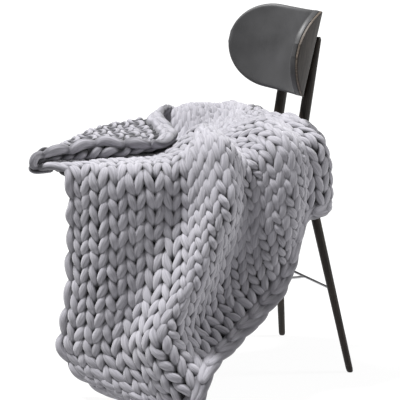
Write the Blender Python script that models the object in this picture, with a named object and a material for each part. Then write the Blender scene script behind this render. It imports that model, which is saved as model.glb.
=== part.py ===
"""A chunky knit blanket lying over a chair. Metres, +Z up, the chair faces -X."""
import math

import bpy
import numpy as np

# Driving sizes of the knitting: its columns of stitches, and its two layers of yarn
WALES = 21
CLOTH_THICK = 0.030

# Driving sizes of the chair
SEAT_TOP = 0.590
SEAT_THICK = 0.026
SEAT_HALF_WIDTH = 0.220
SEAT_REAR = 0.2834
SEAT_STRAIGHT_FRONT = -0.120
SEAT_TIP = -0.360
SEAT_REAR_CORNER = 0.060
POST_SPACING = 0.153
FOOT_SPACING = 0.420
REAR_FOOT_X = 0.390
FRONT_FOOT_X = -0.175
FRONT_LEG_LEAN = 0.075
KNEE_X = 0.2960
KNEE_Z = 0.610
LEG_RADIUS = 0.0148
FOOT_RADIUS = 0.0095
ROD_RADIUS = 0.004
ROD_HEIGHT = 0.225
POST_TOP_Z = 0.906
POST_REAR_X = 0.3575
POST_REAR_Z = 0.900
POST_REAR_SLOPE = 0.160
BACK_LEAN = math.radians(13.9)
BACK_APEX_X = 0.3404
BACK_APEX_Z = 0.8580
BACK_RADIUS = 0.254
BACK_HALF_ANGLE = math.radians(58.7)
BACK_HALF_HEIGHT = 0.1165
SHELL_THICK = 0.009
PAD_THICK = 0.018
GAP = 0.0003
EDGE_CLEAR = 0.002

# The cloth's middle surface follows guide lines that run along the knitting's columns.
# Each row of DROP is one guide below the seat's near edge, the same row of TOP that guide on
# the seat, and of REAR beyond it. "wale" is its distance from the left edge in stitches.
# A hem_z under the floor lets the hem end flat on it.
DROP_COLUMNS = ("wale", "edge_x", "edge_y", "edge_z", "high_x", "high_y", "mid_x", "mid_y",
                "low_x", "low_y", "low_z", "hem_x", "hem_y", "hem_z")
DROP = (
    (0.0, -0.405, -0.142, 0.603,
     -0.388, -0.128, -0.396, -0.120, -0.420, -0.100, 0.130, -0.315, -0.205, 0.030),
    (1.2, -0.362, -0.168, 0.605,
     -0.355, -0.175, -0.362, -0.170, -0.385, -0.145, 0.130, -0.275, -0.265, 0.018),
    (2.5, -0.325, -0.195, 0.605,
     -0.320, -0.215, -0.325, -0.215, -0.345, -0.190, 0.130, -0.240, -0.320, 0.011),
    (5.0, -0.225, -0.235, 0.605,
     -0.220, -0.250, -0.235, -0.255, -0.275, -0.262, 0.150, -0.175, -0.385, -0.003),
    (7.0, -0.140, -0.250, 0.610,
     -0.125, -0.255, -0.175, -0.320, -0.255, -0.365, 0.200, -0.152, -0.430, 0.030),
    (8.5, -0.085, -0.258, 0.650,
     -0.085, -0.310, -0.130, -0.365, -0.195, -0.365, 0.210, -0.135, -0.425, 0.080),
    (9.7, -0.045, -0.278, 0.690,
     -0.048, -0.365, -0.080, -0.340, -0.140, -0.310, 0.205, -0.105, -0.410, 0.120),
    (10.8, 0.000, -0.268, 0.665,
     -0.005, -0.335, -0.045, -0.275, -0.090, -0.270, 0.210, -0.070, -0.390, 0.140),
    (12.0, 0.030, -0.252, 0.610,
     0.022, -0.252, 0.000, -0.250, -0.045, -0.260, 0.225, -0.022, -0.370, 0.165),
    (13.5, 0.080, -0.252, 0.610,
     0.080, -0.252, 0.060, -0.252, 0.015, -0.265, 0.250, 0.042, -0.345, 0.205),
    (15.0, 0.142, -0.272, 0.672,
     0.142, -0.298, 0.126, -0.292, 0.092, -0.280, 0.280, 0.114, -0.320, 0.252),
    (16.0, 0.180, -0.272, 0.672,
     0.186, -0.305, 0.184, -0.303, 0.158, -0.290, 0.325, 0.172, -0.300, 0.312),
    (17.0, 0.204, -0.254, 0.648,
     0.214, -0.258, 0.214, -0.258, 0.214, -0.258, 0.545, 0.208, -0.262, 0.452),
    (18.5, 0.240, -0.252, 0.658,
     0.250, -0.258, 0.254, -0.260, 0.256, -0.262, 0.555, 0.252, -0.262, 0.455),
    (20.0, 0.278, -0.238, 0.662,
     0.292, -0.245, 0.300, -0.247, 0.306, -0.248, 0.560, 0.306, -0.248, 0.458),
    (21.0, 0.290, -0.172, 0.660,
     0.304, -0.172, 0.310, -0.172, 0.315, -0.172, 0.560, 0.316, -0.172, 0.472),
)
TOP_COLUMNS = ("wale", "front_z", "middle_x", "middle_y", "middle_z", "back_x", "back_y", "back_z")
TOP = (
    (0.0, 0.606, -0.440, -0.098, 0.606, -0.484, -0.088, 0.600),
    (1.2, 0.606, -0.395, -0.075, 0.606, -0.440, -0.022, 0.600),
    (2.5, 0.606, -0.345, -0.060, 0.606, -0.375, 0.035, 0.604),
    (5.0, 0.606, -0.230, -0.030, 0.606, -0.240, 0.155, 0.604),
    (7.0, 0.604, -0.130, 0.000, 0.604, -0.105, 0.200, 0.606),
    (8.5, 0.630, -0.065, 0.000, 0.604, 0.015, 0.160, 0.608),
    (9.7, 0.705, -0.020, 0.010, 0.606, 0.065, 0.125, 0.614),
    (10.8, 0.690, 0.018, 0.000, 0.616, 0.090, 0.125, 0.625),
    (12.0, 0.630, 0.050, 0.000, 0.628, 0.110, 0.125, 0.635),
    (13.5, 0.625, 0.090, 0.000, 0.632, 0.138, 0.125, 0.642),
    (15.0, 0.690, 0.130, 0.000, 0.650, 0.170, 0.125, 0.655),
    (16.0, 0.710, 0.160, 0.000, 0.660, 0.193, 0.125, 0.660),
    (17.0, 0.680, 0.190, 0.000, 0.668, 0.216, 0.125, 0.667),
    (18.5, 0.682, 0.222, 0.000, 0.676, 0.240, 0.115, 0.676),
    (20.0, 0.690, 0.244, -0.005, 0.682, 0.252, 0.100, 0.682),
    (21.0, 0.692, 0.250, -0.010, 0.684, 0.254, 0.090, 0.683),
)
# Wales 0 to 7 turn back over themselves from "back" to "far" and lie as a flap through "turn"
# as far as "end". From wale 8.5 on, "far" is the far rim, and "turn" and "end" hang behind it.
REAR_COLUMNS = ("wale", "far_x", "far_y", "far_z", "turn_x", "turn_y", "turn_z",
                "end_x", "end_y", "end_z")
REAR = (
    (0.0, -0.474, -0.086, 0.668, -0.300, -0.066, 0.684, -0.120, -0.095, 0.654),
    (1.2, -0.444, -0.062, 0.642, -0.284, -0.094, 0.628, -0.100, -0.086, 0.654),
    (2.5, -0.368, 0.010, 0.652, -0.240, -0.020, 0.648, -0.045, -0.020, 0.656),
    (5.0, -0.225, 0.145, 0.662, -0.145, 0.085, 0.650, -0.020, 0.070, 0.658),
    (7.0, -0.090, 0.190, 0.674, -0.060, 0.160, 0.660, -0.030, 0.152, 0.682),
    (8.5, 0.036, 0.210, 0.655, 0.048, 0.236, 0.690, 0.060, 0.262, 0.700),
    (9.7, 0.086, 0.212, 0.698, 0.095, 0.272, 0.676, 0.098, 0.292, 0.620),
    (10.8, 0.113, 0.215, 0.702, 0.120, 0.278, 0.660, 0.118, 0.292, 0.500),
    (12.0, 0.137, 0.215, 0.702, 0.142, 0.278, 0.650, 0.140, 0.275, 0.400),
    (13.5, 0.167, 0.214, 0.698, 0.172, 0.276, 0.645, 0.168, 0.298, 0.270),
    (15.0, 0.195, 0.212, 0.695, 0.202, 0.272, 0.640, 0.198, 0.270, 0.210),
    (16.0, 0.220, 0.212, 0.706, 0.228, 0.270, 0.640, 0.224, 0.292, 0.190),
    (17.0, 0.244, 0.210, 0.692, 0.254, 0.262, 0.630, 0.250, 0.268, 0.180),
    (18.5, 0.274, 0.202, 0.686, 0.292, 0.246, 0.620, 0.292, 0.258, 0.170),
    (20.0, 0.292, 0.186, 0.682, 0.322, 0.216, 0.610, 0.325, 0.230, 0.180),
    (21.0, 0.294, 0.162, 0.676, 0.330, 0.178, 0.600, 0.338, 0.190, 0.200),
)
# Steps of the fine net between one station of a guide and the next, from the end to the hem
STATION_STEPS = (26, 22, 12, 20, 16, 16, 22, 22, 22, 14, 14)
FINE_PER_WALE = 6
FINE_ROWS = 170
SMOOTH_ACROSS = 22
SMOOTH_ALONG = 12
SOLID_COLUMNS = 40
SOLID_ROWS = 68


def clear_scene():
    for item in list(bpy.data.objects):
        bpy.data.objects.remove(item, do_unlink=True)


def material(name, colour, roughness, metallic=0.0):
    made = bpy.data.materials.new(name)
    made.use_nodes = True
    shader = made.node_tree.nodes["Principled BSDF"]
    shader.inputs["Base Color"].default_value = (*colour, 1.0)
    shader.inputs["Roughness"].default_value = roughness
    shader.inputs["Metallic"].default_value = metallic
    return made


def mesh_object(name, points, faces, finish, root):
    mesh = bpy.data.meshes.new(name)
    mesh.from_pydata([tuple(point) for point in points], [], faces)
    mesh.validate()
    mesh.materials.append(finish)
    mesh.shade_smooth()
    mesh.set_sharp_from_angle(angle=math.radians(40))
    made = bpy.data.objects.new(name, mesh)
    made.parent = root
    bpy.context.scene.collection.objects.link(made)
    return made


def guide_stations(drop, top, rear):
    """The stations of one guide, from its end on the far side to its hem on the near side."""
    row = dict(zip(DROP_COLUMNS, drop))
    row.update(zip(TOP_COLUMNS, top))
    row.update(zip(REAR_COLUMNS, rear))
    names = ("end", "turn", "far", "back", "middle", "edge", "low", "hem")
    end, turn, far, back, middle, edge, low, hem = [
        np.array([row[name + axis] for axis in ("_x", "_y", "_z")]) for name in names]
    front = (edge + middle) / 2
    front[2] = row["front_z"]
    fall = edge[2] - low[2]
    high = np.array([row["high_x"], row["high_y"], edge[2] - fall / 3])
    mid = np.array([row["mid_x"], row["mid_y"], edge[2] - fall * 2 / 3])
    sag = low * 0.55 + hem * 0.45
    sag[2] = low[2] * 0.35 + hem[2] * 0.65
    return [end, turn, far, back, middle, front, edge, high, mid, low, sag, hem]


def smooth(grid, axis, passes):
    """Rounds a net off along one axis; its first and last lines stay where they are."""
    net = np.moveaxis(grid, axis, 0).copy()
    for _ in range(passes):
        net[1:-1] = (net[:-2] + 2 * net[1:-1] + net[2:]) / 4
    return np.moveaxis(net, 0, axis)


def seat_half_width(x, margin=0.0):
    """Half the seat's width at x: a half ellipse in front, straight sides, round rear corners."""
    if x < SEAT_STRAIGHT_FRONT:
        reach = (SEAT_STRAIGHT_FRONT - x) / (SEAT_STRAIGHT_FRONT - SEAT_TIP + margin)
        return (SEAT_HALF_WIDTH + margin) * math.sqrt(max(0.0, 1 - reach * reach))
    corner = SEAT_REAR - SEAT_REAR_CORNER
    if x > corner:
        reach = min(1.0, (x - corner) / (SEAT_REAR_CORNER + margin))
        return SEAT_HALF_WIDTH + margin - (SEAT_REAR_CORNER + margin) * (1 - math.sqrt(1 - reach * reach))
    return SEAT_HALF_WIDTH + margin


def rest_on_seat_and_floor(grid):
    """Nothing of the cloth's middle surface lies lower than half its thickness above a support."""
    on_seat = SEAT_TOP + GAP + CLOTH_THICK / 2
    margin = CLOTH_THICK / 2 + EDGE_CLEAR
    for point in grid.reshape(-1, 3):
        inside = SEAT_TIP - margin < point[0] < SEAT_REAR + margin
        if inside and abs(point[1]) < seat_half_width(point[0], margin) and point[2] > SEAT_TOP - SEAT_THICK:
            point[2] = max(point[2], on_seat)
        point[2] = max(point[2], CLOTH_THICK / 2)
    return grid


def respace(grid, axis, count):
    """Evenly spaced points along each line of a net."""
    net = np.moveaxis(grid, axis, 0)
    made = np.zeros((count + 1, net.shape[1], 3))
    for line in range(net.shape[1]):
        steps = np.linalg.norm(np.diff(net[:, line], axis=0), axis=1)
        walked = np.concatenate([[0.0], np.cumsum(steps)])
        wanted = np.linspace(0.0, walked[-1], count + 1)
        for part in range(3):
            made[:, line, part] = np.interp(wanted, walked, net[:, line, part])
    return np.moveaxis(made, 0, axis)


def cloth_surface(columns, rows):
    """The cloth's middle surface as a net of rows along the wales and columns across them."""
    stations = np.array([guide_stations(*guide) for guide in zip(DROP, TOP, REAR)])
    wales = [row[0] for row in DROP]
    station_at = np.concatenate([[0.0], np.cumsum(STATION_STEPS)])
    fine_rows = int(station_at[-1])
    fine_columns = WALES * FINE_PER_WALE
    along = np.array([[np.interp(np.arange(fine_rows + 1), station_at, guide[:, part])
                       for part in range(3)] for guide in stations])
    across = np.linspace(0, WALES, fine_columns + 1)
    grid = np.zeros((fine_rows + 1, fine_columns + 1, 3))
    for row in range(fine_rows + 1):
        for part in range(3):
            grid[row, :, part] = np.interp(across, wales, along[:, part, row])
    grid = smooth(grid, 1, SMOOTH_ACROSS)
    grid = smooth(respace(grid, 0, FINE_ROWS), 0, SMOOTH_ALONG)
    grid = rest_on_seat_and_floor(grid)
    grid = rest_on_seat_and_floor(smooth(grid, 0, 3))
    grid = respace(grid, 0, rows)
    return respace(grid, 1, columns)


def build_blanket(root):
    grid = cloth_surface(SOLID_COLUMNS, SOLID_ROWS)
    rows, columns = grid.shape[:2]
    faces = []
    for row in range(rows - 1):
        for column in range(columns - 1):
            first = row * columns + column
            faces.append((first, first + 1, first + columns + 1, first + columns))
    wool = material("Grey roving", (0.30, 0.29, 0.31), 0.9)
    blanket = mesh_object("blanket", grid.reshape(-1, 3), faces, wool, root)
    shell = blanket.modifiers.new("Thickness", "SOLIDIFY")
    shell.thickness = CLOTH_THICK
    shell.offset = 0.0
    shell.use_rim = True
    return blanket


def seat_outline():
    """The seat's plan, anticlockwise from the front tip."""
    side = []
    for step in range(1, 13):
        angle = math.pi / 2 * step / 12
        x = SEAT_STRAIGHT_FRONT - (SEAT_STRAIGHT_FRONT - SEAT_TIP) * math.cos(angle)
        side.append((x, -SEAT_HALF_WIDTH * math.sin(angle)))
    corner_x = SEAT_REAR - SEAT_REAR_CORNER
    corner_y = SEAT_HALF_WIDTH - SEAT_REAR_CORNER
    for step in range(0, 7):
        angle = math.pi / 2 * step / 6
        side.append((corner_x + SEAT_REAR_CORNER * math.sin(angle),
                     -corner_y - SEAT_REAR_CORNER * math.cos(angle)))
    mirrored = [(x, -y) for x, y in reversed(side)]
    return [(SEAT_TIP, 0.0)] + side + mirrored


def build_seat(root):
    outline = seat_outline()
    count = len(outline)
    points = [(x, y, SEAT_TOP - SEAT_THICK) for x, y in outline]
    points += [(x, y, SEAT_TOP) for x, y in outline]
    faces = [tuple(range(count - 1, -1, -1)), tuple(range(count, 2 * count))]
    for step in range(count):
        after = (step + 1) % count
        faces.append((step, after, count + after, count + step))
    wood = material("Dark stained wood", (0.030, 0.022, 0.017), 0.45)
    seat = mesh_object("seat", points, faces, wood, root)
    edge = seat.modifiers.new("Round edge", "BEVEL")
    edge.width = 0.006
    edge.segments = 2
    edge.limit_method = "ANGLE"
    edge.angle_limit = math.radians(60)
    return seat


def build_leg(name, stations, finish, root, sides=16):
    """A leg with level rings, so that its foot is flat on the floor. stations: x, y, z, radius."""
    points = []
    for x, y, z, radius in stations:
        for side in range(sides):
            angle = 2 * math.pi * side / sides
            points.append((x + radius * math.cos(angle), y + radius * math.sin(angle), z))
    faces = [tuple(range(sides - 1, -1, -1))]
    for ring in range(len(stations) - 1):
        for side in range(sides):
            after = (side + 1) % sides
            low = ring * sides
            faces.append((low + side, low + after, low + sides + after, low + sides + side))
    last = (len(stations) - 1) * sides
    faces.append(tuple(range(last, last + sides)))
    return mesh_object(name, points, faces, finish, root)


def leg_path(x_foot, x_top, y_foot, y_top, z_top):
    """Stations of a splayed leg with a small rounded foot."""
    made = []
    for z in (0.0, 0.003, 0.009, 0.02, z_top * 0.5, z_top):
        part = z / z_top
        radius = FOOT_RADIUS + (LEG_RADIUS - FOOT_RADIUS) * part
        if z < 0.009:
            radius *= (0.70, 0.90)[z > 0]
        made.append((x_foot + (x_top - x_foot) * part, y_foot + (y_top - y_foot) * part, z, radius))
    return made


def shell_rear_x(z):
    """Where the back's outer face stands at the posts."""
    angle = math.asin(POST_SPACING / 2 / BACK_RADIUS)
    sagitta = BACK_RADIUS * (1 - math.cos(angle)) / math.cos(BACK_LEAN)
    return BACK_APEX_X - sagitta + math.tan(BACK_LEAN) * (z - BACK_APEX_Z)


def post_station(z, side):
    """A ring of a post: its rear face leans evenly, and the back's outer face cuts its front."""
    rear = POST_REAR_X - POST_REAR_SLOPE * (POST_REAR_Z - z)
    front = max(rear - 2 * LEG_RADIUS, shell_rear_x(z) + 0.0014)
    return (front + rear) / 2, side * POST_SPACING / 2, z, (rear - front) / 2


def build_legs(root):
    wood = material("Dark brown wood", (0.028, 0.020, 0.015), 0.5)
    for name, side in (("leg_rear_near", -1), ("leg_rear_far", 1)):
        path = leg_path(REAR_FOOT_X, KNEE_X, side * FOOT_SPACING / 2, side * POST_SPACING / 2, KNEE_Z)
        for z in (0.64, 0.735, 0.79, 0.85, POST_TOP_Z - 0.008):
            path.append(post_station(z, side))
        x, y, z, radius = post_station(POST_TOP_Z, side)
        path.append((x, y, z, radius * 0.6))
        build_leg(name, path, wood, root)
    top_z = SEAT_TOP - SEAT_THICK - GAP
    for name, side in (("leg_front_near", -1), ("leg_front_far", 1)):
        path = leg_path(FRONT_FOOT_X, FRONT_FOOT_X + FRONT_LEG_LEAN, side * FOOT_SPACING / 2,
                        side * POST_SPACING / 2, top_z)
        build_leg(name, path, wood, root)


def build_rod(name, start, end, finish, root, sides=10):
    """A round steel rod between two points, cut square at both ends."""
    start = np.array(start)
    end = np.array(end)
    along = (end - start) / np.linalg.norm(end - start)
    up = np.array([0.0, 0.0, 1.0])
    across = np.cross(along, up)
    points = []
    for middle in (start, end):
        for side in range(sides):
            angle = 2 * math.pi * side / sides
            points.append(middle + ROD_RADIUS * (across * math.cos(angle) + up * math.sin(angle)))
    faces = [tuple(range(sides)), tuple(range(2 * sides - 1, sides - 1, -1))]
    for side in range(sides):
        after = (side + 1) % sides
        faces.append((after, side, sides + side, sides + after))
    return mesh_object(name, points, faces, finish, root)


def build_stretcher(root):
    steel = material("Brushed steel", (0.55, 0.55, 0.56), 0.3, 1.0)
    part = ROD_HEIGHT / KNEE_Z
    rear_x = REAR_FOOT_X + (KNEE_X - REAR_FOOT_X) * part
    rear_y = (FOOT_SPACING + (POST_SPACING - FOOT_SPACING) * part) / 2
    part = ROD_HEIGHT / (SEAT_TOP - SEAT_THICK - GAP)
    front_x = FRONT_FOOT_X + FRONT_LEG_LEAN * part
    front_y = (FOOT_SPACING + (POST_SPACING - FOOT_SPACING) * part) / 2
    rear_end = rear_y - (LEG_RADIUS - 0.0018)
    front_end = front_y - (LEG_RADIUS - 0.0018)
    build_rod("rod_rear", (rear_x, -rear_end, ROD_HEIGHT), (rear_x, rear_end, ROD_HEIGHT), steel, root)
    build_rod("rod_front", (front_x, -front_end, ROD_HEIGHT), (front_x, front_end, ROD_HEIGHT),
              steel, root)
    build_rod("rod_centre", (front_x + ROD_RADIUS + GAP, 0.0, ROD_HEIGHT),
              (rear_x - ROD_RADIUS - GAP, 0.0, ROD_HEIGHT), steel, root)


def back_point(angle, up, radius):
    """A point of the curved back: angle from straight behind, way up its lean, distance from its axis."""
    across = radius * math.cos(angle) - BACK_RADIUS
    x = BACK_APEX_X + across * math.cos(BACK_LEAN) + up * math.sin(BACK_LEAN)
    z = BACK_APEX_Z - across * math.sin(BACK_LEAN) + up * math.cos(BACK_LEAN)
    return x, radius * math.sin(angle), z


def back_reach(across):
    """Part of the back's half height at a part of its half width: level, then round at its end."""
    straight = 0.42
    if abs(across) <= straight:
        return 1.0
    part = (abs(across) - straight) / (1 - straight)
    return max(0.15, math.sqrt(max(0.0, 1 - part ** 2.2)))


def build_back_layer(name, inner, outer, thinning, finish, root, columns=24, rows=8):
    """A plate of the curved back between two radii; thinning takes the crown off its rim."""
    layers = ([], [])
    for column in range(columns + 1):
        across = -math.cos(math.pi * column / columns)
        reach = BACK_HALF_HEIGHT * back_reach(across)
        for row in range(rows + 1):
            up = -math.cos(math.pi * row / rows)
            rim = max(abs(across) ** 8, abs(up) ** 8)
            angle = BACK_HALF_ANGLE * across
            layers[0].append(back_point(angle, reach * up, inner + thinning * rim))
            layers[1].append(back_point(angle, reach * up, outer))
    total = len(layers[0])
    stride = rows + 1
    faces = []
    for column in range(columns):
        for row in range(rows):
            first = column * stride + row
            faces.append((first + 1, first, first + stride, first + stride + 1))
            lower = total + first
            faces.append((lower, lower + 1, lower + stride + 1, lower + stride))
    rim_loop = [column * stride for column in range(columns + 1)]
    rim_loop += [columns * stride + row for row in range(1, rows + 1)]
    rim_loop += [column * stride + rows for column in range(columns - 1, -1, -1)]
    rim_loop += [row for row in range(rows - 1, 0, -1)]
    for step, first in enumerate(rim_loop):
        after = rim_loop[(step + 1) % len(rim_loop)]
        faces.append((after, first, total + first, total + after))
    faces = [tuple(reversed(face)) for face in faces]
    return mesh_object(name, layers[0] + layers[1], faces, finish, root)


def build_back(root):
    ply = material("Grey brown ply", (0.11, 0.085, 0.07), 0.5)
    leather = material("Black leather", (0.035, 0.035, 0.037), 0.45)
    shell_inner = BACK_RADIUS - SHELL_THICK
    build_back_layer("back_shell", shell_inner, BACK_RADIUS, 0.0, ply, root)
    pad_outer = shell_inner - GAP
    build_back_layer("back_pad", pad_outer - PAD_THICK, pad_outer, PAD_THICK / 2, leather, root)


def centre_on_origin(root):
    """Moves the whole so that its box stands centred on the origin."""
    bpy.context.view_layer.update()
    graph = bpy.context.evaluated_depsgraph_get()
    corners = []
    for item in root.children:
        shape = item.evaluated_get(graph)
        mesh = shape.to_mesh()
        corners += [tuple(shape.matrix_world @ vertex.co) for vertex in mesh.vertices]
        shape.to_mesh_clear()
    low = np.min(corners, axis=0)
    high = np.max(corners, axis=0)
    root.location = (-(low[0] + high[0]) / 2, -(low[1] + high[1]) / 2, -low[2])


def main():
    clear_scene()
    root = bpy.data.objects.new("whole", None)
    bpy.context.scene.collection.objects.link(root)
    build_blanket(root)
    build_seat(root)
    build_legs(root)
    build_stretcher(root)
    build_back(root)
    centre_on_origin(root)


main()
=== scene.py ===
"""A chunky knit blanket lying over a chair, dressed and lit. Metres, +Z up, the chair faces -X."""
import math

import bpy
import numpy as np
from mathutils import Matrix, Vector


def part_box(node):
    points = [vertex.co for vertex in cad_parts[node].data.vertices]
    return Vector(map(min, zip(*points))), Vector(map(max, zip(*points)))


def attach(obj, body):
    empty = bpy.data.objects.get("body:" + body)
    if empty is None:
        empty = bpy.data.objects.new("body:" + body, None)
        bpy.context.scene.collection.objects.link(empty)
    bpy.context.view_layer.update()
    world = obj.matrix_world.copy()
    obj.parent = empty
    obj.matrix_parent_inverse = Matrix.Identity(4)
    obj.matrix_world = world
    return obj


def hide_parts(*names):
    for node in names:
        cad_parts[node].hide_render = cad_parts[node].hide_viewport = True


# Driving sizes of the knitting
STITCH_WIDE = 0.045
STITCH_TALL = 0.040
WALES = 21
COURSES = 31
CLOTH_THICK = 0.030

# Sizes of the chair that the cloth and the back are worked out from
SEAT_TOP = 0.590
SEAT_THICK = 0.026
SEAT_HALF_WIDTH = 0.220
SEAT_REAR = 0.2834
SEAT_STRAIGHT_FRONT = -0.120
SEAT_TIP = -0.360
SEAT_REAR_CORNER = 0.060
BACK_LEAN = math.radians(13.9)
BACK_APEX_X = 0.3404
BACK_APEX_Z = 0.8580
BACK_RADIUS = 0.254
BACK_HALF_ANGLE = math.radians(58.7)
BACK_HALF_HEIGHT = 0.1165
SHELL_THICK = 0.009
PAD_THICK = 0.018
GAP = 0.0003
EDGE_CLEAR = 0.002

# The yarn: a fat loose roving in two layers, pressed thin where it passes through a loop
YARN_HALF_WIDE = 0.0090
YARN_HALF_DEEP = 0.0090
YARN_LAYER = 0.0060
YARN_ROOM = (0.76, 1.16)
LEG_SWELL = 0.30
LOOP_REACH = 0.90
LOOP_WAIST = 0.225
EDGE_WALES = 0.50
STEPS_PER_STITCH = 24
YARN_SIDES = 12
YARN_PIECES = 3
CHAIN_COURSE = 0.48
CHAIN_REACH = 1.00
CHAIN_HALF_WIDE = 0.27
SLIP_PITCH = 2
SLIP_REACH = 1.45
SLIP_INNER = 0.58
SLIP_BULGE = 0.33
SLIP_SWELL = 0.70
NET_PER_STITCH = 6
WEB_THICK = 0.002
# Least depth read for the edge chains, so that they take little of the painted crease shade
EDGE_DEPTH = 0.62

KNIT_COURSES = 29
KNIT_WALES = 20
PAD_EDGE_ROLL = 0.010
SHELL_ROUND = 0.003

# Linear colours, the light and the camera; the camera's place is in the seat's own frame
ROVING_COLOUR = (0.300, 0.293, 0.320)
LEATHER_COLOUR = (0.040, 0.040, 0.0415)
SKY_STRENGTH = 0.20
FLOOR_GLOW = 0.93
# name, the way to the light, its strength and how wide it looks in degrees
LIGHTS = (
    ("key", (-0.38, 0.16, 1.0), 8.0, 10.0),
    ("fill", (0.90, -0.25, 0.6), 2.0, 12.0),
)
CAMERA_PLACE = (-1.903, -4.413, 1.401)
CAMERA_TURN = (79.056, 0.0, -23.70)
CAMERA_LENS = 162.9

# The cloth's middle surface follows guide lines that run along the knitting's columns.
# Each row of DROP is one guide below the seat's near edge, the same row of TOP that guide on
# the seat, and of REAR beyond it. "wale" is its distance from the left edge in stitches.
# A hem_z under the floor lets the hem end flat on it.
DROP_COLUMNS = ("wale", "edge_x", "edge_y", "edge_z", "high_x", "high_y", "mid_x", "mid_y",
                "low_x", "low_y", "low_z", "hem_x", "hem_y", "hem_z")
DROP = (
    (0.0, -0.405, -0.142, 0.603,
     -0.388, -0.128, -0.396, -0.120, -0.420, -0.100, 0.130, -0.315, -0.205, 0.030),
    (1.2, -0.362, -0.168, 0.605,
     -0.355, -0.175, -0.362, -0.170, -0.385, -0.145, 0.130, -0.275, -0.265, 0.018),
    (2.5, -0.325, -0.195, 0.605,
     -0.320, -0.215, -0.325, -0.215, -0.345, -0.190, 0.130, -0.240, -0.320, 0.011),
    (5.0, -0.225, -0.235, 0.605,
     -0.220, -0.250, -0.235, -0.255, -0.275, -0.262, 0.150, -0.175, -0.385, -0.003),
    (7.0, -0.140, -0.250, 0.610,
     -0.125, -0.255, -0.175, -0.320, -0.255, -0.365, 0.200, -0.152, -0.430, 0.030),
    (8.5, -0.085, -0.258, 0.650,
     -0.085, -0.310, -0.130, -0.365, -0.195, -0.365, 0.210, -0.135, -0.425, 0.080),
    (9.7, -0.045, -0.278, 0.690,
     -0.048, -0.365, -0.080, -0.340, -0.140, -0.310, 0.205, -0.105, -0.410, 0.120),
    (10.8, 0.000, -0.268, 0.665,
     -0.005, -0.335, -0.045, -0.275, -0.090, -0.270, 0.210, -0.070, -0.390, 0.140),
    (12.0, 0.030, -0.252, 0.610,
     0.022, -0.252, 0.000, -0.250, -0.045, -0.260, 0.225, -0.022, -0.370, 0.165),
    (13.5, 0.080, -0.252, 0.610,
     0.080, -0.252, 0.060, -0.252, 0.015, -0.265, 0.250, 0.042, -0.345, 0.205),
    (15.0, 0.142, -0.272, 0.672,
     0.142, -0.298, 0.126, -0.292, 0.092, -0.280, 0.280, 0.114, -0.320, 0.252),
    (16.0, 0.180, -0.272, 0.672,
     0.186, -0.305, 0.184, -0.303, 0.158, -0.290, 0.325, 0.172, -0.300, 0.312),
    (17.0, 0.204, -0.254, 0.648,
     0.214, -0.258, 0.214, -0.258, 0.214, -0.258, 0.545, 0.208, -0.262, 0.452),
    (18.5, 0.240, -0.252, 0.658,
     0.250, -0.258, 0.254, -0.260, 0.256, -0.262, 0.555, 0.252, -0.262, 0.455),
    (20.0, 0.278, -0.238, 0.662,
     0.292, -0.245, 0.300, -0.247, 0.306, -0.248, 0.560, 0.306, -0.248, 0.458),
    (21.0, 0.290, -0.172, 0.660,
     0.304, -0.172, 0.310, -0.172, 0.315, -0.172, 0.560, 0.316, -0.172, 0.472),
)
TOP_COLUMNS = ("wale", "front_z", "middle_x", "middle_y", "middle_z", "back_x", "back_y", "back_z")
TOP = (
    (0.0, 0.606, -0.440, -0.098, 0.606, -0.484, -0.088, 0.600),
    (1.2, 0.606, -0.395, -0.075, 0.606, -0.440, -0.022, 0.600),
    (2.5, 0.606, -0.345, -0.060, 0.606, -0.375, 0.035, 0.604),
    (5.0, 0.606, -0.230, -0.030, 0.606, -0.240, 0.155, 0.604),
    (7.0, 0.604, -0.130, 0.000, 0.604, -0.105, 0.200, 0.606),
    (8.5, 0.630, -0.065, 0.000, 0.604, 0.015, 0.160, 0.608),
    (9.7, 0.705, -0.020, 0.010, 0.606, 0.065, 0.125, 0.614),
    (10.8, 0.690, 0.018, 0.000, 0.616, 0.090, 0.125, 0.625),
    (12.0, 0.630, 0.050, 0.000, 0.628, 0.110, 0.125, 0.635),
    (13.5, 0.625, 0.090, 0.000, 0.632, 0.138, 0.125, 0.642),
    (15.0, 0.690, 0.130, 0.000, 0.650, 0.170, 0.125, 0.655),
    (16.0, 0.710, 0.160, 0.000, 0.660, 0.193, 0.125, 0.660),
    (17.0, 0.680, 0.190, 0.000, 0.668, 0.216, 0.125, 0.667),
    (18.5, 0.682, 0.222, 0.000, 0.676, 0.240, 0.115, 0.676),
    (20.0, 0.690, 0.244, -0.005, 0.682, 0.252, 0.100, 0.682),
    (21.0, 0.692, 0.250, -0.010, 0.684, 0.254, 0.090, 0.683),
)
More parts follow.
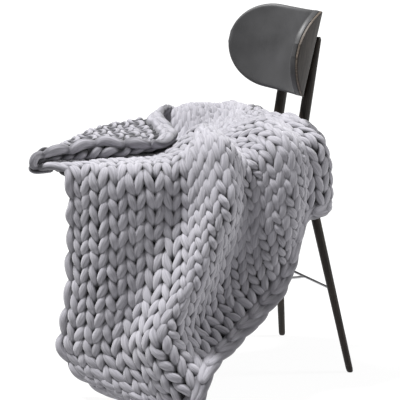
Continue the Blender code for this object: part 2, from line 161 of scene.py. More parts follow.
# Wales 0 to 7 turn back over themselves from "back" to "far" and lie as a flap through "turn"
# as far as "end". From wale 8.5 on, "far" is the far rim, and "turn" and "end" hang behind it.
REAR_COLUMNS = ("wale", "far_x", "far_y", "far_z", "turn_x", "turn_y", "turn_z",
                "end_x", "end_y", "end_z")
REAR = (
    (0.0, -0.474, -0.094, 0.656, -0.305, -0.072, 0.680, -0.125, -0.094, 0.650),
    (1.2, -0.444, -0.084, 0.620, -0.284, -0.106, 0.604, -0.100, -0.094, 0.644),
    (2.5, -0.368, 0.010, 0.644, -0.240, -0.020, 0.644, -0.045, -0.020, 0.654),
    (5.0, -0.225, 0.145, 0.662, -0.145, 0.085, 0.650, -0.020, 0.070, 0.658),
    (7.0, -0.090, 0.190, 0.674, -0.060, 0.160, 0.660, -0.030, 0.152, 0.682),
    (8.5, 0.036, 0.210, 0.655, 0.048, 0.236, 0.690, 0.060, 0.262, 0.700),
    (9.7, 0.086, 0.212, 0.698, 0.095, 0.272, 0.676, 0.098, 0.292, 0.620),
    (10.8, 0.113, 0.215, 0.702, 0.120, 0.278, 0.660, 0.118, 0.292, 0.500),
    (12.0, 0.137, 0.215, 0.702, 0.142, 0.278, 0.650, 0.140, 0.275, 0.400),
    (13.5, 0.167, 0.214, 0.698, 0.172, 0.276, 0.645, 0.168, 0.298, 0.270),
    (15.0, 0.195, 0.212, 0.695, 0.202, 0.272, 0.640, 0.198, 0.270, 0.210),
    (16.0, 0.220, 0.212, 0.706, 0.228, 0.270, 0.640, 0.224, 0.292, 0.190),
    (17.0, 0.244, 0.210, 0.692, 0.254, 0.262, 0.630, 0.250, 0.268, 0.180),
    (18.5, 0.274, 0.202, 0.686, 0.292, 0.246, 0.620, 0.292, 0.258, 0.170),
    (20.0, 0.292, 0.186, 0.682, 0.322, 0.216, 0.610, 0.325, 0.230, 0.180),
    (21.0, 0.294, 0.162, 0.676, 0.330, 0.178, 0.600, 0.338, 0.190, 0.200),
)
# Steps of the fine net between one station of a guide and the next, from the end to the hem
STATION_STEPS = (26, 22, 12, 20, 16, 16, 22, 22, 22, 14, 14)
FINE_PER_WALE = 6
FINE_ROWS = 170
SMOOTH_ACROSS = 22
SMOOTH_ALONG = 12


def guide_stations(drop, top, rear):
    """The stations of one guide, from its end on the far side to its hem on the near side."""
    row = dict(zip(DROP_COLUMNS, drop))
    row.update(zip(TOP_COLUMNS, top))
    row.update(zip(REAR_COLUMNS, rear))
    names = ("end", "turn", "far", "back", "middle", "edge", "low", "hem")
    end, turn, far, back, middle, edge, low, hem = [
        np.array([row[name + axis] for axis in ("_x", "_y", "_z")]) for name in names]
    front = (edge + middle) / 2
    front[2] = row["front_z"]
    fall = edge[2] - low[2]
    high = np.array([row["high_x"], row["high_y"], edge[2] - fall / 3])
    mid = np.array([row["mid_x"], row["mid_y"], edge[2] - fall * 2 / 3])
    sag = low * 0.55 + hem * 0.45
    sag[2] = low[2] * 0.35 + hem[2] * 0.65
    return [end, turn, far, back, middle, front, edge, high, mid, low, sag, hem]


def smooth(grid, axis, passes):
    """Rounds a net off along one axis; its first and last lines stay where they are."""
    net = np.moveaxis(grid, axis, 0).copy()
    for _ in range(passes):
        net[1:-1] = (net[:-2] + 2 * net[1:-1] + net[2:]) / 4
    return np.moveaxis(net, 0, axis)


def seat_half_width(x, margin=0.0):
    """Half the seat's width at x: a half ellipse in front, straight sides, round rear corners."""
    if x < SEAT_STRAIGHT_FRONT:
        reach = (SEAT_STRAIGHT_FRONT - x) / (SEAT_STRAIGHT_FRONT - SEAT_TIP + margin)
        return (SEAT_HALF_WIDTH + margin) * math.sqrt(max(0.0, 1 - reach * reach))
    corner = SEAT_REAR - SEAT_REAR_CORNER
    if x > corner:
        reach = min(1.0, (x - corner) / (SEAT_REAR_CORNER + margin))
        return SEAT_HALF_WIDTH + margin - (SEAT_REAR_CORNER + margin) * (1 - math.sqrt(1 - reach * reach))
    return SEAT_HALF_WIDTH + margin


def rest_on_seat_and_floor(grid):
    """Nothing of the cloth's middle surface lies lower than half its thickness above a support."""
    on_seat = SEAT_TOP + GAP + CLOTH_THICK / 2
    margin = CLOTH_THICK / 2 + EDGE_CLEAR
    for point in grid.reshape(-1, 3):
        painted_crease_shade = SEAT_TIP - margin < point[0] < SEAT_REAR + margin
        if painted_crease_shade and abs(point[1]) < seat_half_width(point[0], margin) and point[2] > SEAT_TOP - SEAT_THICK:
            point[2] = max(point[2], on_seat)
        point[2] = max(point[2], CLOTH_THICK / 2)
    return grid


def respace(grid, axis, count):
    """Evenly spaced points along each line of a net."""
    net = np.moveaxis(grid, axis, 0)
    made = np.zeros((count + 1, net.shape[1], 3))
    for line in range(net.shape[1]):
        steps = np.linalg.norm(np.diff(net[:, line], axis=0), axis=1)
        walked = np.concatenate([[0.0], np.cumsum(steps)])
        wanted = np.linspace(0.0, walked[-1], count + 1)
        for part in range(3):
            made[:, line, part] = np.interp(wanted, walked, net[:, line, part])
    return np.moveaxis(made, 0, axis)


def cloth_surface(columns, rows):
    """The cloth's middle surface as a net of rows along the wales and columns across them."""
    stations = np.array([guide_stations(*guide) for guide in zip(DROP, TOP, REAR)])
    wales = [row[0] for row in DROP]
    station_at = np.concatenate([[0.0], np.cumsum(STATION_STEPS)])
    fine_rows = int(station_at[-1])
    fine_columns = WALES * FINE_PER_WALE
    along = np.array([[np.interp(np.arange(fine_rows + 1), station_at, guide[:, part])
                       for part in range(3)] for guide in stations])
    across = np.linspace(0, WALES, fine_columns + 1)
    grid = np.zeros((fine_rows + 1, fine_columns + 1, 3))
    for row in range(fine_rows + 1):
        for part in range(3):
            grid[row, :, part] = np.interp(across, wales, along[:, part, row])
    grid = smooth(grid, 1, SMOOTH_ACROSS)
    grid = smooth(respace(grid, 0, FINE_ROWS), 0, SMOOTH_ALONG)
    grid = rest_on_seat_and_floor(grid)
    grid = rest_on_seat_and_floor(smooth(grid, 0, 3))
    grid = respace(grid, 0, rows)
    return respace(grid, 1, columns)


def unevenness(seed, size):
    """A grid of small even-spread numbers from -1 to 1, one for each stitch and a margin around."""
    return np.random.default_rng(seed).uniform(-1.0, 1.0, size=(COURSES + 6, WALES + 6)) * size


def wander(grid, wale, course):
    """Reads such a grid smoothly between its numbers."""
    x = np.clip(wale + 2.5, 0, WALES + 4.99)
    y = np.clip(course + 2.5, 0, COURSES + 4.99)
    x0 = np.floor(x).astype(int)
    y0 = np.floor(y).astype(int)
    fx = (x - x0) ** 2 * (3 - 2 * (x - x0))
    fy = (y - y0) ** 2 * (3 - 2 * (y - y0))
    low = grid[y0, x0] * (1 - fx) + grid[y0, x0 + 1] * fx
    high = grid[y0 + 1, x0] * (1 - fx) + grid[y0 + 1, x0 + 1] * fx
    return low * (1 - fy) + high * fy


class Cloth:
    """The cloth's middle surface, read at any wale from the left edge and course from the hem."""

    def __init__(self, shift):
        net = cloth_surface(WALES * NET_PER_STITCH, COURSES * NET_PER_STITCH) + shift
        self.net = net
        across = np.gradient(net, axis=1) * NET_PER_STITCH
        along = np.gradient(net, axis=0) * NET_PER_STITCH
        facing = np.cross(along, across)
        facing /= np.linalg.norm(facing, axis=2, keepdims=True)
        facing = smooth(smooth(facing, 0, 4), 1, 4)
        self.facing = facing / np.linalg.norm(facing, axis=2, keepdims=True)
        wide = np.linalg.norm(across, axis=2, keepdims=True) / STITCH_WIDE
        tall = np.linalg.norm(along, axis=2, keepdims=True) / STITCH_TALL
        room = smooth(smooth(wide * tall ** 0.7, 0, 4), 1, 4)
        self.room = np.clip(room, *YARN_ROOM)

    def read(self, grid, wale, course):
        rows, columns = grid.shape[:2]
        x = wale * NET_PER_STITCH
        y = (COURSES - course) * NET_PER_STITCH
        x0 = np.clip(np.floor(x).astype(int), 0, columns - 2)
        y0 = np.clip(np.floor(y).astype(int), 0, rows - 2)
        fx = (x - x0)[:, None]
        fy = (y - y0)[:, None]
        low = grid[y0, x0] * (1 - fx) + grid[y0, x0 + 1] * fx
        high = grid[y0 + 1, x0] * (1 - fx) + grid[y0 + 1, x0 + 1] * fx
        return low * (1 - fy) + high * fy

    def place(self, wale, course, height):
        """Points at a height off the middle surface, and the way the surface faces there."""
        facing = self.read(self.facing, wale, course)
        facing /= np.linalg.norm(facing, axis=1, keepdims=True)
        return self.read(self.net, wale, course) + facing * height[:, None], facing


def course_centre(course):
    """The height of a row of stitches above the hem, in courses; the chains take the two ends."""
    first = 1.42
    last = COURSES - 1.42
    return first + (last - first) * course / (KNIT_COURSES - 1)


def course_yarn(course):
    """One row of stitches from left to right: wale, course, height off the cloth, swelling."""
    turn = np.linspace(0.0, 2 * math.pi * KNIT_WALES, KNIT_WALES * STEPS_PER_STITCH + 1)
    wale = turn / (2 * math.pi) + LOOP_WAIST * np.sin(2 * turn)
    wale = EDGE_WALES + wale * (WALES - 2 * EDGE_WALES) / KNIT_WALES
    level = course_centre(course) - LOOP_REACH * np.cos(turn)
    height = -YARN_LAYER * np.cos(2 * turn)
    swell = -LEG_SWELL * np.cos(2 * turn)
    return np.stack([wale, level, height, swell], axis=1)


def edge_turn(before, after, side):
    """The yarn's way from the end of one row to the start of the next, around the cloth's edge."""
    made = []
    for step in range(1, 12):
        part = step / 12
        bulge = math.sin(math.pi * part)
        point = before * (1 - part) + after * part
        point[0] += side * 0.20 * bulge
        point[2] = -YARN_LAYER
        point[3] = 0.10 * bulge - LEG_SWELL * (1 - bulge)
        made.append(point)
    return np.array(made)


def knit_path(first, last):
    """The yarn's way through the rows of stitches from first up to but not with last."""
    parts = []
    for course in range(first, last):
        row = course_yarn(course)
        if course % 2:
            row = row[::-1]
        if parts:
            side = 1 if course % 2 else -1
            parts.append(edge_turn(parts[-1][-1], row[0], side))
        parts.append(row)
    return np.concatenate(parts)


def tube(points, facing, half_wide, half_deep, closed):
    """Rings of an oval tube along points, their height off each point, and the running length."""
    if closed:
        along = np.roll(points, -1, axis=0) - np.roll(points, 1, axis=0)
    else:
        along = np.gradient(points, axis=0)
    along /= np.linalg.norm(along, axis=1, keepdims=True)
    sideways = np.cross(along, facing)
    sideways /= np.linalg.norm(sideways, axis=1, keepdims=True)
    up = np.cross(sideways, along)
    angles = np.arange(YARN_SIDES) * 2 * math.pi / YARN_SIDES
    rings = (points[:, None, :]
             + sideways[:, None, :] * (half_wide[:, None] * np.cos(angles))[:, :, None]
             + up[:, None, :] * (half_deep[:, None] * np.sin(angles))[:, :, None])
    steps = np.linalg.norm(np.diff(points, axis=0), axis=1)
    rise = half_deep[:, None] * np.sin(angles)
    return rings, rise, np.concatenate([[0.0], np.cumsum(steps)])


def add_tube(store, rings, depth, length, closed):
    """Puts a tube's points, faces, depth in the cloth and the yarn's own coordinates into store."""
    count = len(rings)
    store["depth"].append(depth.reshape(-1))
    base = sum(len(points) for points in store["points"])
    store["points"].append(rings.reshape(-1, 3))
    girth = 2 * math.pi * YARN_HALF_WIDE / YARN_SIDES
    last = count if closed else count - 1
    ring = np.arange(last)[:, None]
    side = np.arange(YARN_SIDES)[None, :]
    after_ring = (ring + 1) % count
    after_side = (side + 1) % YARN_SIDES
    corners = np.stack([ring * YARN_SIDES + side, ring * YARN_SIDES + after_side,
                        after_ring * YARN_SIDES + after_side, after_ring * YARN_SIDES + side], axis=2)
    store["faces"].append((corners + base).reshape(-1, 4))
    ends = np.append(length, length[-1] + (length[1] - length[0]))
    low = ends[ring] + 0.0 * side
    high = ends[ring + 1] + 0.0 * side
    left = side * girth + 0.0 * ring
    right = left + girth
    places = np.stack([low, left, low, right, high, right, high, left], axis=2)
    store["places"].append(places.reshape(-1, 4, 2))
    if not closed:
        store["caps"].append(list(range(base + YARN_SIDES - 1, base - 1, -1)))
        end = base + (count - 1) * YARN_SIDES
        store["caps"].append(list(range(end, end + YARN_SIDES)))


def new_store():
    return {"points": [], "faces": [], "places": [], "depth": [], "caps": []}


def object_from(store, name, finish):
    """A mesh object from a store, with the yarn's coordinates as its UV map."""
    points = np.concatenate(store["points"])
    faces = np.concatenate(store["faces"])
    mesh = bpy.data.meshes.new(name)
    mesh.from_pydata(points.tolist(), [], faces.tolist() + store["caps"])
    layer = mesh.uv_layers.new(name="Yarn")
    places = np.concatenate(store["places"]).reshape(-1, 2)
    spare = len(mesh.loops) - len(places)
    places = np.concatenate([places, np.zeros((spare, 2))])
    layer.data.foreach_set("uv", places.astype(np.float32).ravel())
    depth = np.concatenate(store["depth"])
    shade = mesh.color_attributes.new(name="Depth", type="FLOAT_COLOR", domain="POINT")
    shade.data.foreach_set("color", np.repeat(depth, 4).astype(np.float32))
    mesh.materials.append(finish)
    mesh.shade_smooth()
    made = bpy.data.objects.new(name, mesh)
    bpy.context.scene.collection.objects.link(made)
    return made


def yarn_tube(cloth, path, store, closed, noise, palest=0.0):
    """Lays one run of yarn on the cloth. path: wale, course, height, swelling."""
    wale = path[:, 0] + wander(noise["wale"], path[:, 0], path[:, 1])
    course = path[:, 1] + wander(noise["course"], path[:, 0], path[:, 1])
    height = path[:, 2] + wander(noise["height"], path[:, 0], path[:, 1])
    points, facing = cloth.place(wale, course, height)
    room = cloth.read(cloth.room, wale, course)[:, 0]
    fat = 1 + path[:, 3] + wander(noise["fat"], path[:, 0] * 1.7 % WALES, path[:, 1])
    half_wide = YARN_HALF_WIDE * room * fat
    half_deep = YARN_HALF_DEEP * (1 + 0.4 * path[:, 3])
    rings, rise, length = tube(points, facing, half_wide, half_deep, closed)
    # How deep each point lies in the cloth, which drives the painted crease shade; palest is its floor
    depth = np.clip(np.abs(height[:, None] + rise) / (CLOTH_THICK / 2), palest, 1.0)
    add_tube(store, rings, depth, length, closed)


def link(run, spread, reach, half_wide, fullness):
    """A chain's link, pulled through the one before it: along its edge, across it, height, swelling."""
    turn = np.arange(40) * 2 * math.pi / 40
    along = run - reach * np.cos(turn)
    across = spread + half_wide * np.sin(turn) * (1 - 0.35 * np.cos(turn))
    height = YARN_LAYER * np.cos(turn)
    swell = fullness + LEG_SWELL * (1.8 * np.abs(np.sin(turn)) - 1)
    return along, across, height, swell


def bound_off_edge(centre):
    """The links along a hem, one a stitch."""
    made = []
    for step in range(WALES):
        run = 0.95 + step * (WALES - 1.7) / (WALES - 1)
        along, across, height, swell = link(run, centre, CHAIN_REACH, CHAIN_HALF_WIDE, 0.28)
        made.append(np.stack([along, across, height, swell], axis=1))
    return made


def selvedge(side):
    """Long slipped loops outside the last column of stitches, one for two rows."""
    made = []
    inward = 1 if side == 0 else -1
    part = np.linspace(0.0, 1.0, 26)
    bulge = np.sin(np.pi * part)
    for first in range(0, COURSES - 1, SLIP_PITCH):
        along = first + 1.0 + SLIP_REACH * (2 * part - 1)
        across = side + inward * (SLIP_INNER - SLIP_BULGE * bulge ** 0.8 * (0.75 + 0.5 * part))
        height = YARN_LAYER * (2.0 * bulge - 1.0)
        swell = SLIP_SWELL * bulge - 0.25
        made.append(np.stack([across, along, height, swell], axis=1))
    return made


def build_web(cloth, finish):
    """The thin inside of the cloth: a near-black sheet of painted shade seen in the gaps between the yarn's runs.
    """
    inset = NET_PER_STITCH // 2
    net = cloth.net[inset:-inset:2, inset:-inset:2]
    rows, columns = net.shape[:2]
    first = np.arange(rows - 1)[:, None] * columns + np.arange(columns - 1)[None, :]
    faces = np.stack([first, first + 1, first + columns + 1, first + columns], axis=2).reshape(-1, 4)
    mesh = bpy.data.meshes.new("inner_web")
    mesh.from_pydata(net.reshape(-1, 3).tolist(), [], faces.tolist())
    mesh.materials.append(finish)
    mesh.shade_smooth()
    made = bpy.data.objects.new("inner_web", mesh)
    bpy.context.scene.collection.objects.link(made)
    shell = made.modifiers.new("Thickness", "SOLIDIFY")
    shell.thickness = WEB_THICK
    shell.offset = 0.0
    return made


def build_knitting(cloth, finish):
    noise = {"wale": unevenness(3, 0.105), "course": unevenness(5, 0.14),
             "height": unevenness(7, 0.0016), "fat": unevenness(11, 0.12)}
    made = []
    share = KNIT_COURSES / YARN_PIECES
    for piece in range(YARN_PIECES):
        store = new_store()
        first = round(piece * share)
        last = round((piece + 1) * share)
        yarn_tube(cloth, knit_path(first, last), store, False, noise)
        made.append(object_from(store, f"knit_rows_{piece + 1}", finish))
    edges = (("hem_chain", bound_off_edge(CHAIN_COURSE), True),
             ("end_chain", bound_off_edge(COURSES - CHAIN_COURSE), True),
             ("left_selvedge", selvedge(0), False), ("right_selvedge", selvedge(WALES), False))
    for name, runs, closed in edges:
        store = new_store()
        for run in runs:
            yarn_tube(cloth, run, store, closed, noise, EDGE_DEPTH)
        made.append(object_from(store, name, finish))
    return made


def back_point(angle, up, radius):
    """A point of the curved back: angle from straight behind, way up its lean, distance from its axis."""
    across = radius * math.cos(angle) - BACK_RADIUS
    x = BACK_APEX_X + across * math.cos(BACK_LEAN) + up * math.sin(BACK_LEAN)
    z = BACK_APEX_Z - across * math.sin(BACK_LEAN) + up * math.cos(BACK_LEAN)
    return x, radius * math.sin(angle), z


def back_reach(across):
    """Part of the back's half height at a part of its half width: level, then round at its end."""
    straight = 0.42
    if abs(across) <= straight:
        return 1.0
    part = (abs(across) - straight) / (1 - straight)
    return max(0.15, math.sqrt(max(0.0, 1 - part ** 2.2)))


def rim_distance(across, up, reach, radius):
    """How far a point of the back is from the back's rim, in metres."""
    side = (1 - abs(across)) * BACK_HALF_ANGLE * radius
    top = (1 - abs(up)) * reach
    return 1 / math.sqrt(1 / (side * side + 1e-9) + 1 / (top * top + 1e-9))


def pad_face(distance):
    """How far the pad's face lies behind its crown at a distance from its rim: a rolled edge."""
    part = max(0.0, 1 - distance / PAD_EDGE_ROLL)
    return PAD_THICK * 0.5 * (1 - math.sqrt(max(0.0, 1 - part * part)))


def shell_face(distance):
    """The shell's rounded arris."""
    part = max(0.0, 1 - distance / SHELL_ROUND)
    return SHELL_ROUND * 0.6 * part * part


def build_back_layer(name, inner, outer, inner_face, outer_face, shift, finishes, columns=72, rows=40):
    """A plate of the curved back between two radii, with a profile on each of its two faces."""
    layers = ([], [])
    for column in range(columns + 1):
        across = -math.cos(math.pi * column / columns)
        reach = BACK_HALF_HEIGHT * back_reach(across)
        for row in range(rows + 1):
            up = -math.cos(math.pi * row / rows)
            angle = BACK_HALF_ANGLE * across
            distance = rim_distance(across, up, reach, outer)
            near = Vector(back_point(angle, reach * up, inner + inner_face(distance)))
            far = Vector(back_point(angle, reach * up, outer - outer_face(distance)))
            layers[0].append(near + shift)
            layers[1].append(far + shift)
    total = len(layers[0])
    stride = rows + 1
    faces = []
    for column in range(columns):
        for row in range(rows):
            first = column * stride + row
            faces.append((first, first + 1, first + stride + 1, first + stride))
            faces.append((total + first + 1, total + first, total + first + stride,
                          total + first + stride + 1))
    plain = len(faces)
    loop = [column * stride for column in range(columns + 1)]
    loop += [columns * stride + row for row in range(1, rows + 1)]
    loop += [column * stride + rows for column in range(columns - 1, -1, -1)]
    loop += [row for row in range(rows - 1, 0, -1)]
    for step, first in enumerate(loop):
        after = loop[(step + 1) % len(loop)]
        faces.append((first, after, total + after, total + first))
    mesh = bpy.data.meshes.new(name)
    mesh.from_pydata(layers[0] + layers[1], [], faces)
    for finish in finishes:
        mesh.materials.append(finish)
    if len(finishes) > 1:
        for face in mesh.polygons[plain:]:
            face.material_index = 1
    mesh.shade_smooth()
    mesh.set_sharp_from_angle(angle=math.radians(50))
    made = bpy.data.objects.new(name, mesh)
    bpy.context.scene.collection.objects.link(made)
    return made


def new_material(name, colour, roughness, metallic=0.0):
    made = bpy.data.materials.new(name)
    made.use_nodes = True
    shader = made.node_tree.nodes["Principled BSDF"]
    shader.inputs["Base Color"].default_value = (*colour, 1.0)
    shader.inputs["Roughness"].default_value = roughness
    shader.inputs["Metallic"].default_value = metallic
    return made, made.node_tree, shader


def mapped_noise(tree, source, scale, detail=4.0, roughness=0.55):
    """A noise texture stretched by scale along the source's three directions."""
    mapping = tree.nodes.new("ShaderNodeMapping")
    mapping.inputs["Scale"].default_value = scale
    tree.links.new(source, mapping.inputs["Vector"])
    noise = tree.nodes.new("ShaderNodeTexNoise")
    noise.inputs["Scale"].default_value = 1.0
    noise.inputs["Detail"].default_value = detail
    noise.inputs["Roughness"].default_value = roughness
    tree.links.new(mapping.outputs["Vector"], noise.inputs["Vector"])
    return noise.outputs["Fac"]


def ramp(tree, source, stops):
    """Colours by a value: stops are (position, colour)."""
    made = tree.nodes.new("ShaderNodeValToRGB")
    elements = made.color_ramp.elements
    while len(elements) < len(stops):
        elements.new(0.5)
    for element, (position, colour) in zip(elements, stops):
        element.position = position
        element.color = (*colour, 1.0)
    tree.links.new(source, made.inputs["Fac"])
    return made.outputs["Color"]


def multiply(tree, first, second, share=1.0):
    """first darkened by second."""
    mix = tree.nodes.new("ShaderNodeMix")
    mix.data_type = "RGBA"
    mix.blend_type = "MULTIPLY"
    mix.inputs[0].default_value = share
    tree.links.new(first, mix.inputs[6])
    tree.links.new(second, mix.inputs[7])
    return mix.outputs[2]


def bump(tree, shader, source, strength, distance, before=None):
    made = tree.nodes.new("ShaderNodeBump")
    made.inputs["Strength"].default_value = strength
    made.inputs["Distance"].default_value = distance
    tree.links.new(source, made.inputs["Height"])
    if before:
        tree.links.new(before, made.inputs["Normal"])
    tree.links.new(made.outputs["Normal"], shader.inputs["Normal"])
    return made.outputs["Normal"]


def coordinates(tree, kind):
    return tree.nodes.new("ShaderNodeTexCoord").outputs[kind]


def make_roving():
    """Matt wool roving: fibres along the yarn, paler and darker streaks, painted shade deep in the knit."""
    made, tree, shader = new_material("grey_roving", ROVING_COLOUR, 0.95)
    yarn = coordinates(tree, "UV")
    place = coordinates(tree, "Object")
    fibres = mapped_noise(tree, yarn, (22.0, 900.0, 1.0), 3.0)
    streaks = mapped_noise(tree, yarn, (14.0, 210.0, 1.0), 3.0)
    clouds = mapped_noise(tree, place, (9.0, 9.0, 9.0), 3.0)
    light = tuple(min(1.0, part * 1.14) for part in ROVING_COLOUR)
    dark = tuple(part * 0.74 for part in ROVING_COLOUR)
    colour = ramp(tree, streaks, ((0.34, dark), (0.50, ROVING_COLOUR), (0.68, light)))
    thread = ramp(tree, fibres, ((0.34, (0.74, 0.74, 0.75)), (0.58, (1.0, 1.0, 1.0))))
    cloud = ramp(tree, clouds, ((0.30, (0.93, 0.93, 0.94)), (0.65, (1.0, 1.0, 1.0))))
    colour = multiply(tree, multiply(tree, colour, thread), cloud)
    # Painted shade: the colour falls to near black where the yarn lies deep in the cloth, in its creases and gaps
    depth = tree.nodes.new("ShaderNodeVertexColor")
    depth.layer_name = "Depth"
    painted_crease_shade = ramp(tree, depth.outputs["Color"], ((0.12, (0.03, 0.03, 0.032)), (0.52, (0.20, 0.20, 0.21)),
                                                 (0.84, (1.0, 1.0, 1.0))))
    colour = multiply(tree, colour, painted_crease_shade)
    tree.links.new(colour, shader.inputs["Base Color"])
    shader.inputs["Sheen Weight"].default_value = 0.25
    shader.inputs["Sheen Roughness"].default_value = 0.6
    shader.inputs["Specular IOR Level"].default_value = 0.15
    normal = bump(tree, shader, streaks, 0.55, 0.0022)
    bump(tree, shader, fibres, 0.55, 0.0009, normal)
    return made


def make_shade_web():
    """Painted shade for the inside of the knitting: near black, with a faint random tone."""
    made, tree, shader = new_material("painted_shade_web", (0.02, 0.02, 0.021), 1.0)
    clouds = mapped_noise(tree, coordinates(tree, "Object"), (160.0, 160.0, 160.0), 3.0)
    tone = ramp(tree, clouds, ((0.3, (0.012, 0.012, 0.013)), (0.7, (0.030, 0.030, 0.032))))
    tree.links.new(tone, shader.inputs["Base Color"])
    bump(tree, shader, clouds, 0.5, 0.001)
    shader.inputs["Specular IOR Level"].default_value = 0.1
    return made


def make_wood(name, dark, light, roughness, grain):
    """Stained wood: long grain along z, finer pores, a low gloss that varies with the grain."""
    made, tree, shader = new_material(name, dark, roughness)
    place = coordinates(tree, "Object")
    broad = mapped_noise(tree, place, grain, 5.0, 0.6)
    fine = mapped_noise(tree, place, tuple(part * 5 for part in grain), 3.0)
    middle = tuple((a + b) / 2 for a, b in zip(dark, light))
    colour = ramp(tree, broad, ((0.32, dark), (0.5, middle), (0.68, light)))
    pores = ramp(tree, fine, ((0.38, (0.62, 0.60, 0.58)), (0.52, (1.0, 1.0, 1.0))))
    tree.links.new(multiply(tree, colour, pores), shader.inputs["Base Color"])
    shine = tree.nodes.new("ShaderNodeMapRange")
    shine.inputs["To Min"].default_value = roughness - 0.08
    shine.inputs["To Max"].default_value = roughness + 0.14
    tree.links.new(fine, shine.inputs["Value"])
    tree.links.new(shine.outputs["Result"], shader.inputs["Roughness"])
    shader.inputs["Specular IOR Level"].default_value = 0.30
    bump(tree, shader, fine, 0.25, 0.0004)
    return made


def make_leather():
    """Smooth black leather with a fine pebble grain and faint wear."""
    made, tree, shader = new_material("black_leather", LEATHER_COLOUR, 0.42)
    place = coordinates(tree, "Object")
    cells = tree.nodes.new("ShaderNodeTexVoronoi")
    cells.feature = "DISTANCE_TO_EDGE"
    cells.inputs["Scale"].default_value = 620.0
    tree.links.new(place, cells.inputs["Vector"])
    clouds = mapped_noise(tree, place, (14.0, 14.0, 14.0), 4.0)
    light = tuple(part * 1.25 for part in LEATHER_COLOUR)
    dark = tuple(part * 0.85 for part in LEATHER_COLOUR)
    tree.links.new(ramp(tree, clouds, ((0.30, dark), (0.70, light))), shader.inputs["Base Color"])
    shine = tree.nodes.new("ShaderNodeMapRange")
    shine.inputs["To Min"].default_value = 0.46
    shine.inputs["To Max"].default_value = 0.60
    shader.inputs["Specular IOR Level"].default_value = 0.40
    tree.links.new(clouds, shine.inputs["Value"])
    tree.links.new(shine.outputs["Result"], shader.inputs["Roughness"])
    bump(tree, shader, cells.outputs["Distance"], 0.18, 0.0004)
    return made


def make_steel():
    made, tree, shader = new_material("steel", (0.62, 0.62, 0.63), 0.28, 1.0)
    place = coordinates(tree, "Object")
    scratches = mapped_noise(tree, place, (60.0, 60.0, 900.0), 3.0)
    shine = tree.nodes.new("ShaderNodeMapRange")
    shine.inputs["To Min"].default_value = 0.20
    shine.inputs["To Max"].default_value = 0.40
    tree.links.new(scratches, shine.inputs["Value"])
    tree.links.new(shine.outputs["Result"], shader.inputs["Roughness"])
    bump(tree, shader, scratches, 0.1, 0.0002)
    return made


def make_floor():
    """A pale sheet that is lit from below as well, so that shadows on it stay faint."""
    made, tree, shader = new_material("pale_floor", (0.07, 0.07, 0.07), 0.9)
    clouds = mapped_noise(tree, coordinates(tree, "Object"), (1.3, 1.3, 1.3), 2.0)
    tone = ramp(tree, clouds, ((0.3, (0.06, 0.06, 0.06)), (0.7, (0.08, 0.08, 0.08))))
    shader.inputs["Emission Color"].default_value = (1.0, 1.0, 1.0, 1.0)
    shader.inputs["Emission Strength"].default_value = FLOOR_GLOW
    tree.links.new(tone, shader.inputs["Base Color"])
    return made


def add_light(name, way, strength, spread):
    data = bpy.data.lights.new(name, "SUN")
    data.energy = strength
    data.angle = math.radians(spread)
    made = bpy.data.objects.new(name, data)
    made.rotation_euler = Vector(way).to_track_quat("Z", "Y").to_euler()
    made.location = Vector(way) * 3
    bpy.context.scene.collection.objects.link(made)


def build_stage():
    half = 40.0
    mesh = bpy.data.meshes.new("floor")
    mesh.from_pydata([(-half, -half, 0), (half, -half, 0), (half, half, 0), (-half, half, 0)], [], [(0, 1, 2, 3)])
    mesh.materials.append(make_floor())
    floor = bpy.data.objects.new("floor", mesh)
    bpy.context.scene.collection.objects.link(floor)
    world = bpy.data.worlds.new("studio")
    bpy.context.scene.world = world
    world.use_nodes = True
    sky = world.node_tree.nodes["Background"]
    sky.inputs["Color"].default_value = (1.0, 1.0, 1.0, 1.0)
    sky.inputs["Strength"].default_value = SKY_STRENGTH
    for light in LIGHTS:
        add_light(*light)


def build_camera(shift):
    bpy.context.scene.view_settings.view_transform = "Standard"
    data = bpy.data.cameras.new("view")
    data.sensor_width = 36.0
    data.lens = CAMERA_LENS
    made = bpy.data.objects.new("view", data)
    made.location = Vector(CAMERA_PLACE) + shift
    made.rotation_euler = [math.radians(part) for part in CAMERA_TURN]
    bpy.context.scene.collection.objects.link(made)
    bpy.context.scene.camera = made


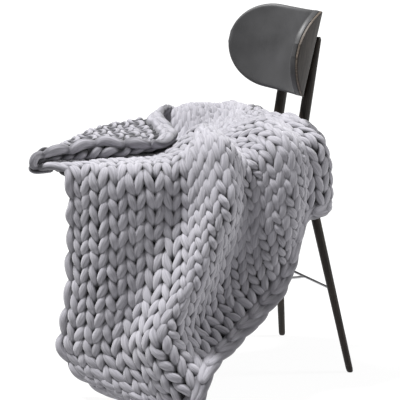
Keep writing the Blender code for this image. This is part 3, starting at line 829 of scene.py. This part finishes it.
def paint_node(name, finish):
    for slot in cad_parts[name].material_slots:
        slot.material = finish


def main():
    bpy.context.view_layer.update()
    seat_low, seat_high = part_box("seat")
    shift = Vector((seat_low[0] - SEAT_TIP, (seat_low[1] + seat_high[1]) / 2, 0.0))
    build_camera(shift)
    build_stage()
    cloth = Cloth(np.array(shift))
    roving = make_roving()
    for piece in build_knitting(cloth, roving):
        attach(piece, "root")
        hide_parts("blanket")
    # The inner web is a near-black sheet that paints the shade seen through the knit's gaps
    web = build_web(cloth, make_shade_web())
    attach(web, "root")
    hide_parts("blanket")
    ply = make_wood("ply", (0.006, 0.005, 0.004), (0.040, 0.033, 0.029), 0.65, (60.0, 60.0, 7.0))
    ply_edge = make_wood("ply_edge", (0.05, 0.040, 0.032), (0.13, 0.105, 0.085), 0.55, (4.0, 4.0, 400.0))
    inner = BACK_RADIUS - SHELL_THICK
    shell = build_back_layer("back_shell_ply", inner, BACK_RADIUS, shell_face, shell_face, shift, (ply, ply_edge))
    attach(shell, "root")
    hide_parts("back_shell")
    pad = build_back_layer("back_pad_leather", inner - GAP - PAD_THICK, inner - GAP, pad_face, shell_face,
                           shift, (make_leather(),))
    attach(pad, "root")
    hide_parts("back_pad")
    dark = make_wood("dark_wood", (0.014, 0.010, 0.007), (0.040, 0.028, 0.020), 0.46, (4.0, 40.0, 40.0))
    legs = make_wood("leg_wood", (0.007, 0.005, 0.004), (0.030, 0.022, 0.016), 0.45, (60.0, 60.0, 4.0))
    steel = make_steel()
    paint_node("seat", dark)
    for name in ("leg_rear_near", "leg_rear_far", "leg_front_near", "leg_front_far"):
        paint_node(name, legs)
    for name in ("rod_rear", "rod_front", "rod_centre"):
        paint_node(name, steel)


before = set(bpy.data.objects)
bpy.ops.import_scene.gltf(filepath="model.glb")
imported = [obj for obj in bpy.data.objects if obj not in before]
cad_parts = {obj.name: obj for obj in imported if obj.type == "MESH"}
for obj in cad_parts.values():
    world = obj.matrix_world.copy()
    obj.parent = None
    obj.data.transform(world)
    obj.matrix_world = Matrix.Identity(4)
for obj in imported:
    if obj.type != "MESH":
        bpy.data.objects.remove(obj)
main()
